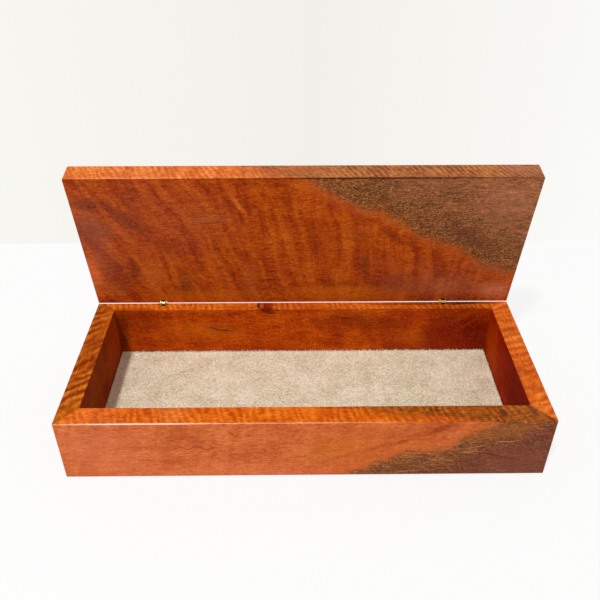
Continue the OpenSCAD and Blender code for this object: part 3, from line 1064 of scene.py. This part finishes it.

# %% [markdown]
# ## The back and end boards
# The other three walls are plain red boards, so one loop lays them up from a table. The
# back board has a small knot in its rim, red inside a dark ring, and its inside darkens
# towards the left of its own ruler, which starts from outside. At the right of its ruler,
# the left as seen from the front, a painted shadow of the left wall darkens the corner.
# The end boards are seen mostly on their rims, where the curl is wide and slants.

# %% Marks of the back and end boards
# The depth of a mark on the face that looks into the box
INSIDE = (-13, 6)
BACK_MARKS_AND_PAINTED_SHADOW = [
    ((28, 50), (9.5, 9), 0, "6c1000", 0.95, (-7, 9)),
    ((30.5, 50), (2.4, 7), 0, "c85010", 0.9, (-8, 5)),
    ((25.5, 50), (4, 7), 0, "a41c00", 0.95, (-8, 5)),
    ((32.6, 50), (1.4, 7), 0, "300402", 0.9, (-8, 6)),
    ((27, 48.8), (9, 2.2), 0, "3c0602", 0.9, (-12.8, 3)),
    ((25, 46.4), (8, 3), 0, "641004", 0.7, (-13, 3)),
    # The inside darkens into a wedge at the right-hand corner, seen from the front
    ((-118, 26), (36, 46), 20, "7c0800", 0.86, INSIDE),
    ((-134, 16), (18, 42), -24, "700800", 0.7, INSIDE),
    ((-98, 24), (18, 34), 10, "801800", 0.6, INSIDE),
    ((-46, 30), (7, 24), -30, "842600", 0.6, INSIDE),
    ((-78, 22), (16, 12), 20, "b8500c", 0.4, INSIDE),
    ((112, 40), (10, 14), 0, "8c2800", 0.6, INSIDE),
    ((-62, 34), (22, 14), 20, "8c2c04", 0.65, INSIDE),
    ((-32, 38), (34, 13), 0, "8c2c04", 0.6, INSIDE),
    # Dark lines along the rim where its chamfer starts, from the middle to the corner at the
    # right, seen from the front
    ((-80, 49), (64, 3), 0, "501c00", 0.6, (-7, 2.4)),
    ((-118, 49), (28, 4), 0, "3c1200", 0.9, (-6.4, 4)),
    ((-74, 14), (24, 8), 0, "8c2c04", 0.5, INSIDE),
    ((122, 40), (16, 14), 0, "8c2800", 0.6, INSIDE),
    ((-14, 30), (9, 5), 70, "8c2a00", 0.5, INSIDE),
    ((70, 28), (46, 12), 0, "c45e08", 0.45, INSIDE),
    ((-24, 24), (16, 8), 80, "942400", 0.55, INSIDE),
    ((-44, 20), (18, 4), 100, "983000", 0.4, INSIDE),
    ((121, 17), (12, 10), 0, "983000", 0.45, INSIDE),
    # Painted shadow: the left wall's shadow in the corner at the left, seen from the front
    ((135, 26), (10, 40), 8, "5a0c00", 0.7, INSIDE),
    ((-118, 42), (18, 4), -36, "ac4008", 0.45, INSIDE),
]
BACK_VEINS = [
    ([(50, 27.4), (57, 29.4), (63, 30), (68, 32), (74, 31.6)], 0.9, "5c1400", 1.0),
    ([(95, 19), (100, 17.4), (106, 19.4), (112, 19)], 0.8, "6c1c00", 0.9),
    ([(76, 15.4), (84, 16.6), (92, 15.6)], 0.7, "6c1c00", 0.8),
    ([(-37, 39.6), (-30, 40.6), (-25, 41.6), (-19, 42)], 0.8, "5c1400", 1.0),
    ([(-34, 20), (-27, 23.4), (-20, 24)], 0.8, "6c1c00", 0.9),
    ([(-30, 14), (-22, 16.4), (-12, 17)], 0.8, "6c1c00", 0.8),
    # Not a vein of the fibres: a wide lighter line slanting down from the top of the right-hand
    # corner
    ([(-138, 49), (-129, 41), (-121, 34), (-108, 26)], 3.0, "98300a", 0.6),
    ([(-116, 47), (-60, 47.4), (-10, 46.8)], 0.4, "c07040", 0.35),
]
LEFT_MARKS = [
    ((22, 49), (2.2, 8), 0, "7c3400", 0.7, (-6, 8)),
    ((-33, 30), (26, 30), 0, "a84008", 0.6, INSIDE),
    ((0, 17), (15, 11), 0, "6c1e00", 0.5, INSIDE),
]
RIGHT_MARKS = [
    ((-22, 36), (34, 22), 0, "6c0800", 0.6, INSIDE),
    ((28, 18), (30, 14), 25, "ac4600", 0.6, INSIDE),
    ((33, 30), (22, 30), 0, "c44804", 0.55, INSIDE),
    ((23, 49), (6, 3), 0, "8c2c04", 0.5, (-6, 9)),
    ((-18, 49), (3.5, 3), 0, "8c3008", 0.45, (-6, 9)),
    ((-33, 49), (3, 3), 0, "8c3008", 0.4, (-6, 9)),
    ((33, 49), (3, 3), 0, "8c2c04", 0.35, (-6, 9)),
]
print("back board:", len(BACK_MARKS_AND_PAINTED_SHADOW), "marks,", len(BACK_VEINS), "veins")

# %% The back and end boards
# Board, colours of the outside, the inside (deeper, partly painted shade) and the edges, marks,
# veins, gloss, figure
WALLS = (
    ("back", ("a84410", "c45a1c", "da7434"), ("9c2c00", "b84200", "d05c04"),
     ("b44808", "d05e0c", "e67c20"), BACK_MARKS_AND_PAINTED_SHADOW, BACK_VEINS, 0.07,
     {"seed": (90, 30, 0), "cloud_depth": 1.25, "crepe_depth": 0.6,
      "curl_pitch": 4.5, "curl_slant": -0.2}),
    ("left", ("a04a14", "c06020", "d67a38"), ("7c2a02", "943a02", "ac5008"),
     ("843004", "b05410", "d07a24"), LEFT_MARKS, [], 0.01,
     {"seed": (200, 5, 9), "cloud_depth": 0.85, "crepe_depth": 0.35,
      "curl_pitch": 7.5, "curl_slant": -0.7}),
    ("right", ("a84410", "c45a1c", "da7434"), ("801400", "981e00", "b03404"),
     ("c05014", "d86820", "e88434"), RIGHT_MARKS, [], 0.01,
     {"seed": (310, 44, 3), "cloud_depth": 0.85, "crepe_depth": 0.35,
      "curl_pitch": 6.0, "curl_slant": -0.3}),
)
for board, face, far_face, edge_face, marks, veins, gloss, sizes in WALLS:
    parts = start_board(f"oiled curly hardwood, {board} board", board, face, far_face,
                        edge_face, band_pitch=9.0, band_slant=-0.2, band_depth=0.12,
                        curl_depth=0.3, line_depth=0.05, **sizes)
    timber, tree, out, place, edge, grain, colour = parts
    rough_place = ragged(tree, place, reach=1.5, grain=(8, 4, 4))
    colour = paint(tree, rough_place, colour, marks)
    colour = draw_veins(tree, ragged(tree, place, reach=0.5, grain=(4, 2, 2)), colour, veins)
    finish_board(tree, out, grain, colour, gloss, contrast=0.5)
    dress(timber, f"{board}_wall")

# %% [markdown]
# ## The plywood bottom
# The bottom panel is birch plywood, let into a rebate in the walls, and shows only from
# below. Rotary-cut birch veneer is pale with soft, wide flames, so one stretched noise
# and a narrow ramp are enough. It is sanded but not oiled, so it stays matt.

# %% Birch plywood
FLAME_GRAIN = (90, 9, 9)
VENEER_FIBRE = (12, 0.5, 0.5)

plywood, tree, out = new_material("sanded birch plywood")
place = ruler(tree, "bottom")
uneven = ragged(tree, place, reach=6.0, grain=(60, 25, 25))
flames = stretched(tree, uneven, FLAME_GRAIN, detail=4.0, rough=0.55)
colour = add(tree, "ShaderNodeValToRGB", {"Fac": flames},
             stops=((0.3, "c79f6e"), (0.5, "d8b687"), (0.7, "e2c79c")))
fibre = stretched(tree, place, VENEER_FIBRE, detail=2.0)
rough = add(tree, "ShaderNodeMapRange", {"Value": fibre, "To Min": 0.6, "To Max": 0.75})
bump = add(tree, "ShaderNodeBump", {"Height": fibre, "Distance": 0.05 * MM})
matt = add(tree, "ShaderNodeBsdfPrincipled", {"Base Color": colour, "Roughness": rough,
                                              "Normal": bump})
tree.links.new(matt, out.inputs["Surface"])
dress(plywood, "bottom_panel")

# %% [markdown]
# ## Brass and steel
# The hinges are two turned brass barrels each, glued into bores, with brass leaves
# between them on steel pins. Turning leaves rings so fine that they only blur the
# reflection round the barrel, so they are a ripple in the bump, drawn at 0.3 mm to show
# in a close view. The rings lie across the barrel's axis, which is Z on the board's ruler.
# The pins are drawn steel, which is grey and a little smoother. Fingers leave both metals
# duller and darker in patches of about 2 mm.

# %% Turned brass and drawn steel
RING_GRAIN = (40, 40, 0.3)
SMEAR_GRAIN = (2, 2, 2)
# Colour, tarnish, and roughness from and to
BRASS = ("dcbe80", "a87c38", 0.22, 0.38)
STEEL = ("b4b5b8", "8e8f92", 0.22, 0.35)


def turned_metal(name, board, code, tarnish, rough_from, rough_to):
    """A bare metal with turning rings across the Z axis of a ruler and dull patches."""
    metal, tree, out = new_material(name)
    place = ruler(tree, board)
    rings = stretched(tree, place, RING_GRAIN, detail=2.0)
    smears = stretched(tree, place, SMEAR_GRAIN, detail=3.0)
    rough = add(tree, "ShaderNodeMapRange", {"Value": smears, **NOISE_RANGE,
                                             "To Min": rough_from, "To Max": rough_to})
    bump = add(tree, "ShaderNodeBump", {"Height": rings, "Distance": 0.02 * MM})
    colour = add(tree, "ShaderNodeValToRGB", {"Fac": smears},
                 stops=((0.42, tarnish), (0.58, code)))
    bare = add(tree, "ShaderNodeBsdfPrincipled", {
        "Base Color": colour, "Metallic": 1.0, "Roughness": rough, "Normal": bump})
    tree.links.new(bare, out.inputs["Surface"])
    return metal


box_brass = turned_metal("turned brass, box barrels", "bottom", *BRASS)
lid_brass = turned_metal("turned brass, lid barrels", "lid", *BRASS)
steel = turned_metal("drawn steel pins", "bottom", *STEEL)
for side in ("left", "right"):
    dress(box_brass, f"{side}_box_barrel", f"{side}_end_leaf", f"{side}_middle_leaf")
    dress(lid_brass, f"{side}_lid_barrel", f"{side}_lid_leaf")
    dress(steel, f"{side}_pivot_pin", f"{side}_box_cross_pin", f"{side}_lid_cross_pin")

# %% [markdown]
# ## The suede lining
# The lining is one piece of split suede, 1.5 mm thick, cut to the inside of the box and
# glued to the bottom. A flat slab would look like card, because suede has soft hills of
# nap, a rounded top edge and a cut line that isn't quite straight. So it is a fine grid
# whose heights come from noise, closed by a rim and an underside. Its corners are
# measured from the solid that it stands for. The knife leaves the border turned up a
# little, and a hand-cut line wanders by a fifth of a millimetre.

# %% Height and cut line of the suede
suede_low, suede_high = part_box("suede_lining")
GRID = 0.9 * MM
EDGE_RISE = 0.6 * MM
EDGE_BEND = 3.0 * MM
NAP_HEIGHT = 0.10 * MM
NAP_SIZE = 1.3 * MM
TUFT_SIZE = NAP_SIZE * 2.3
HILL_HEIGHT = 0.12 * MM
HILL_SIZE = 14 * MM
CUT_WAVE = 0.18 * MM
CUT_WAVE_LENGTH = 20 * MM
KEEP_TO_BORDER = 9


def suede_height(x, y):
    """Height of the suede's face at a place: nap, soft hills and an edge that turns up.
    Each noise is read at a level of its own, so that they differ."""
    nap = noise.noise(Vector((x, y, 0)) / NAP_SIZE) + noise.noise(
        Vector((x, y, 5)) / TUFT_SIZE)
    hill = noise.noise(Vector((x, y, 9)) / HILL_SIZE)
    inset = min(x - suede_low.x, suede_high.x - x, y - suede_low.y, suede_high.y - y)
    rise = max(0, 1 - inset / EDGE_BEND) ** 2 * EDGE_RISE
    return suede_high.z - NAP_HEIGHT + nap * NAP_HEIGHT + hill * HILL_HEIGHT + rise


def cut_place(x, y):
    """Moves a place on the border a little inwards, where the knife strayed. The high
    power leaves the rest of the sheet where it is."""
    wave = (noise.noise(Vector((x, y, 3)) / CUT_WAVE_LENGTH) + 1) / 2 * CUT_WAVE
    middle = (suede_low + suede_high) / 2
    half = (suede_high - suede_low) / 2
    across = (x - middle.x) / half.x
    up = (y - middle.y) / half.y
    return x - across ** KEEP_TO_BORDER * wave, y - up ** KEEP_TO_BORDER * wave


# %% [markdown]
# The sheet is built point by point. A grid of points makes its face, a rim goes down to
# the bottom panel all round, and one large face closes it from below, so that it is a
# solid that could be measured or printed.

# %% The suede sheet
columns = round((suede_high.x - suede_low.x) / GRID)
rows = round((suede_high.y - suede_low.y) / GRID)
shape = bmesh.new()
top = []
for row in range(rows + 1):
    y = suede_low.y + (suede_high.y - suede_low.y) * row / rows
    line = []
    for column in range(columns + 1):
        x = suede_low.x + (suede_high.x - suede_low.x) * column / columns
        height = suede_height(x, y)
        line.append(shape.verts.new((*cut_place(x, y), height)))
    top.append(line)
for row in range(rows):
    for column in range(columns):
        shape.faces.new((top[row][column], top[row][column + 1],
                         top[row + 1][column + 1], top[row + 1][column]))
border = (top[0][:-1] + [line[-1] for line in top[:-1]] + top[-1][:0:-1]
          + [line[0] for line in top[:0:-1]])
under = [shape.verts.new((v.co.x, v.co.y, suede_low.z)) for v in border]
for number, vert in enumerate(border):
    after = (number + 1) % len(border)
    shape.faces.new((vert, under[number], under[after], border[after]))
shape.faces.new(under[::-1])
bmesh.ops.recalc_face_normals(shape, faces=shape.faces)
for face in shape.faces:
    face.smooth = True
mesh = bpy.data.meshes.new("suede_sheet")
shape.to_mesh(mesh)
shape.free()
lining = bpy.data.objects.new("suede_sheet", mesh)
scene.collection.objects.link(lining)
print("suede sheet:", len(mesh.polygons), "faces")

# %% [markdown]
# Suede is the flesh side of the hide, sanded to a nap. The nap scatters light, so it is
# rough, and its standing fibres catch light at a low angle, which is what sheen is for.
# Where the nap lies another way it looks lighter or darker, in patches of 10 to 20 mm. The
# fibres themselves are too fine to show, so they are drawn as tufts of about a millimetre.

# %% Napped suede
PATCH_GRAIN = (16, 12, 12)
NAP_GRAIN = (1.6, 1.3, 1.3)
SPECK_GRAIN = (0.9, 0.8, 0.8)

suede, tree, out = new_material("split suede, napped")
place = ruler(tree, "bottom")
patches = stretched(tree, place, PATCH_GRAIN, detail=3.0, rough=0.6)
nap = stretched(tree, place, NAP_GRAIN, detail=2.0, rough=0.7)
speck = stretched(tree, place, SPECK_GRAIN, detail=1.0, rough=0.6)
mixed = 0.0
for pattern, share in ((patches, 0.2), (nap, 0.2), (speck, 0.42)):
    mixed = add(tree, "ShaderNodeMath", {0: pattern, 1: share, 2: mixed},
                operation="MULTIPLY_ADD")
colour = add(tree, "ShaderNodeValToRGB", {"Fac": mixed},
             stops=((0.26, "ac9a72"), (0.41, "e1d5b7"), (0.56, "fffaec")))
rough = add(tree, "ShaderNodeMapRange", {"Value": nap, "To Min": 0.85, "To Max": 1.0})
bump = add(tree, "ShaderNodeBump", {"Height": speck, "Distance": 0.2 * MM, "Strength": 0.6})
soft = add(tree, "ShaderNodeBsdfPrincipled", {
    "Base Color": colour, "Roughness": rough, "Normal": bump, "Sheen Weight": 0.25,
    "Sheen Roughness": 0.5, "Specular IOR Level": 0.15})
tree.links.new(soft, out.inputs["Surface"])
mesh.materials.append(suede)
print(suede.name, "on", lining.name)

# %% [markdown]
# At the cut edge single fibres stand clear of the nap. Light reaches them from all sides,
# so they look paler than the face, with some paler than others, and no gloss.

# %% Loose fibres of the suede
TUFT_GRAIN = (1.5, 1.5, 1.5)

pale_suede, tree, out = new_material("split suede, loose fibres")
tuft = stretched(tree, ruler(tree, "bottom"), TUFT_GRAIN, detail=1.0)
colour = add(tree, "ShaderNodeValToRGB", {"Fac": tuft},
             stops=((0.35, "ece0c6"), (0.65, "fffdf6")))
soft = add(tree, "ShaderNodeBsdfPrincipled", {
    "Base Color": colour, "Roughness": 1.0, "Sheen Weight": 0.3, "Sheen Roughness": 0.5,
    "Specular IOR Level": 0.1})
tree.links.new(soft, out.inputs["Surface"])
print(pale_suede.name)

# %% [markdown]
# Along its cut edge the suede frays into short pale fibres. They repeat, so a Geometry
# Nodes tree grows them: it takes the border as a line, spreads points along it, bends a
# little tapered fibre for each and turns it at random. The result is turned into a plain
# mesh, so that the finished piece carries no modifier.

# %% A Geometry Nodes group with sizes
def new_growth(name, inputs):
    """A Geometry Nodes group with its inputs given as name: (kind, value)."""
    tree = bpy.data.node_groups.new(name, "GeometryNodeTree")
    tree.interface.new_socket("Geometry", in_out="INPUT", socket_type="NodeSocketGeometry")
    for label, (kind, value) in inputs.items():
        socket = tree.interface.new_socket(label, in_out="INPUT",
                                           socket_type="NodeSocket" + kind)
        if value is not None:
            socket.default_value = value
    tree.interface.new_socket("Geometry", in_out="OUTPUT", socket_type="NodeSocketGeometry")
    return tree, tree.nodes.new("NodeGroupInput").outputs, tree.nodes.new("NodeGroupOutput")


fray, given, result = new_growth("frayed edge", {
    "Spacing": ("Float", 0.3 * MM),
    "Fibre length": ("Float", 1.2 * MM),
    "Fibre thickness": ("Float", 0.14 * MM),
    "Seed": ("Int", 3),
    "Material": ("Material", None),
})
print("frayed edge:", len(given) - 1, "inputs")

# %% A tree that frays an edge
BEND = (0.5, 0.5, 0.6)
TIP_LEAN = (0.45, 0, 0)
TIP_WIDTH = 0.25
TURN_LEAST = (-0.9, -0.9, 0)
TURN_MOST = (0.9, 0.9, 6.28)
GROW_LEAST = 0.3
GROW_MOST = 1.25

path = add(fray, "GeometryNodeMeshToCurve", {0: given["Geometry"]})
points = add(fray, "GeometryNodeResampleCurve", {"Curve": path, "Length": given["Spacing"]},
             mode="LENGTH")

# One fibre stands up, bends over at its middle and gets thinner towards its tip
long = add(fray, "ShaderNodeCombineXYZ", {"Z": given["Fibre length"]})
half_way = add(fray, "ShaderNodeVectorMath", {0: long, 1: BEND}, operation="MULTIPLY")
lean = add(fray, "ShaderNodeCombineXYZ", {"X": given["Fibre length"]})
tip = add(fray, "ShaderNodeVectorMath", {0: lean, 1: TIP_LEAN, 2: long},
          operation="MULTIPLY_ADD")
fibre = add(fray, "GeometryNodeCurveQuadraticBezier", {
    "Resolution": 3, "Start": NO_PLACE, "Middle": half_way, "End": tip})
along = add(fray, "GeometryNodeSplineParameter")
taper = add(fray, "ShaderNodeMapRange", {"Value": along, "To Min": 1.0,
                                         "To Max": TIP_WIDTH})
fibre = add(fray, "GeometryNodeSetCurveRadius", {"Curve": fibre, "Radius": taper})
ring = add(fray, "GeometryNodeCurvePrimitiveCircle", {
    "Resolution": 3, "Radius": given["Fibre thickness"]})
fibre = add(fray, "GeometryNodeCurveToMesh", {"Curve": fibre, "Profile Curve": ring,
                                              "Fill Caps": True})

# Every point gets a copy of it, turned and sized at random
turn = add(fray, "FunctionNodeRandomValue", {"Min": TURN_LEAST, "Max": TURN_MOST,
                                             "Seed": given["Seed"]},
           data_type="FLOAT_VECTOR")
grow = add(fray, "FunctionNodeRandomValue", {"Min": GROW_LEAST, "Max": GROW_MOST,
                                             "Seed": given["Seed"]}, data_type="FLOAT")
fringe = add(fray, "GeometryNodeInstanceOnPoints", {
    "Points": points, "Instance": fibre, "Rotation": turn, "Scale": grow})
fringe = add(fray, "GeometryNodeRealizeInstances", {"Geometry": fringe})
fringe = add(fray, "GeometryNodeSetMaterial", {"Geometry": fringe,
                                               "Material": given["Material"]})
fray.links.new(fringe, result.inputs[0])
print("frayed edge:", len(fray.nodes), "nodes")

# %% [markdown]
# Each side of the sheet gets its own fringe. The back one is denser and longer, because
# that side was torn a little when the sheet was cut. The inputs of the tree are set by
# their identifiers, and the evaluated result becomes a mesh of its own.

# %% Fibres along the cut edge
def plain_mesh(piece, name):
    """Replaces a piece that has modifiers by a plain mesh object of the result."""
    bpy.context.view_layer.update()
    ready = piece.evaluated_get(bpy.context.evaluated_depsgraph_get())
    mesh = bpy.data.meshes.new_from_object(ready)
    mesh.name = name
    bpy.data.objects.remove(piece)
    made = bpy.data.objects.new(name, mesh)
    scene.collection.objects.link(made)
    return made


def grow_fringe(name, ends, **sizes):
    """Grows fibres along a straight line between two points."""
    line = bpy.data.meshes.new(name + "_path")
    line.from_pydata(ends, [(0, 1)], [])
    piece = bpy.data.objects.new(name + "_path", line)
    scene.collection.objects.link(piece)
    growth = piece.modifiers.new("fray", "NODES")
    growth.node_group = fray
    wanted = {label.replace("_", " ").capitalize(): value for label, value in sizes.items()}
    for item in fray.interface.items_tree:
        if item.in_out == "INPUT" and item.name in wanted:
            growth[item.identifier] = wanted[item.name]
    return plain_mesh(piece, name)


print("a fringe is grown along a line and kept as a plain mesh")

# %% The four fringes
EDGE_UP = suede_high.z + EDGE_RISE / 2
INSET = 0.4 * MM
# Spacing, length and seed of the fibres on each side, in the order of the corners
SIDES = {
    "front": (0.5 * MM, 0.9 * MM, 3),
    "right": (0.5 * MM, 0.9 * MM, 5),
    "back": (0.22 * MM, 1.3 * MM, 7),
    "left": (0.5 * MM, 0.9 * MM, 9),
}
left, right = suede_low.x + INSET, suede_high.x - INSET
front, back = suede_low.y + INSET, suede_high.y - INSET
corners = [Vector((x, y, EDGE_UP)) for x, y in (
    (left, front), (right, front), (right, back), (left, back))]
fringes = []
for number, (side, (spacing, length, seed)) in enumerate(SIDES.items()):
    ends = (corners[number], corners[(number + 1) % len(corners)])
    fringe = grow_fringe(f"suede_fringe_{side}", ends, spacing=spacing,
                         fibre_length=length, seed=seed, material=pale_suede)
    fringes.append(fringe)
    print(fringe.name, len(fringe.data.polygons), "faces")

# %% [markdown]
# ## How the lining belongs to the box
# The sheet and its fringes ride the box, not the lid. The sheet replaces the plain slab of
# the CAD model. Laid flat it has the same length and width as in the box, because it isn't
# folded anywhere, and it rests on the bottom panel.

# %% The lining in its place
for fringe in fringes:
    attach(fringe, "box")
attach(lining, "box")
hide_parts("suede_lining")
print(lining.name, "rides the box")
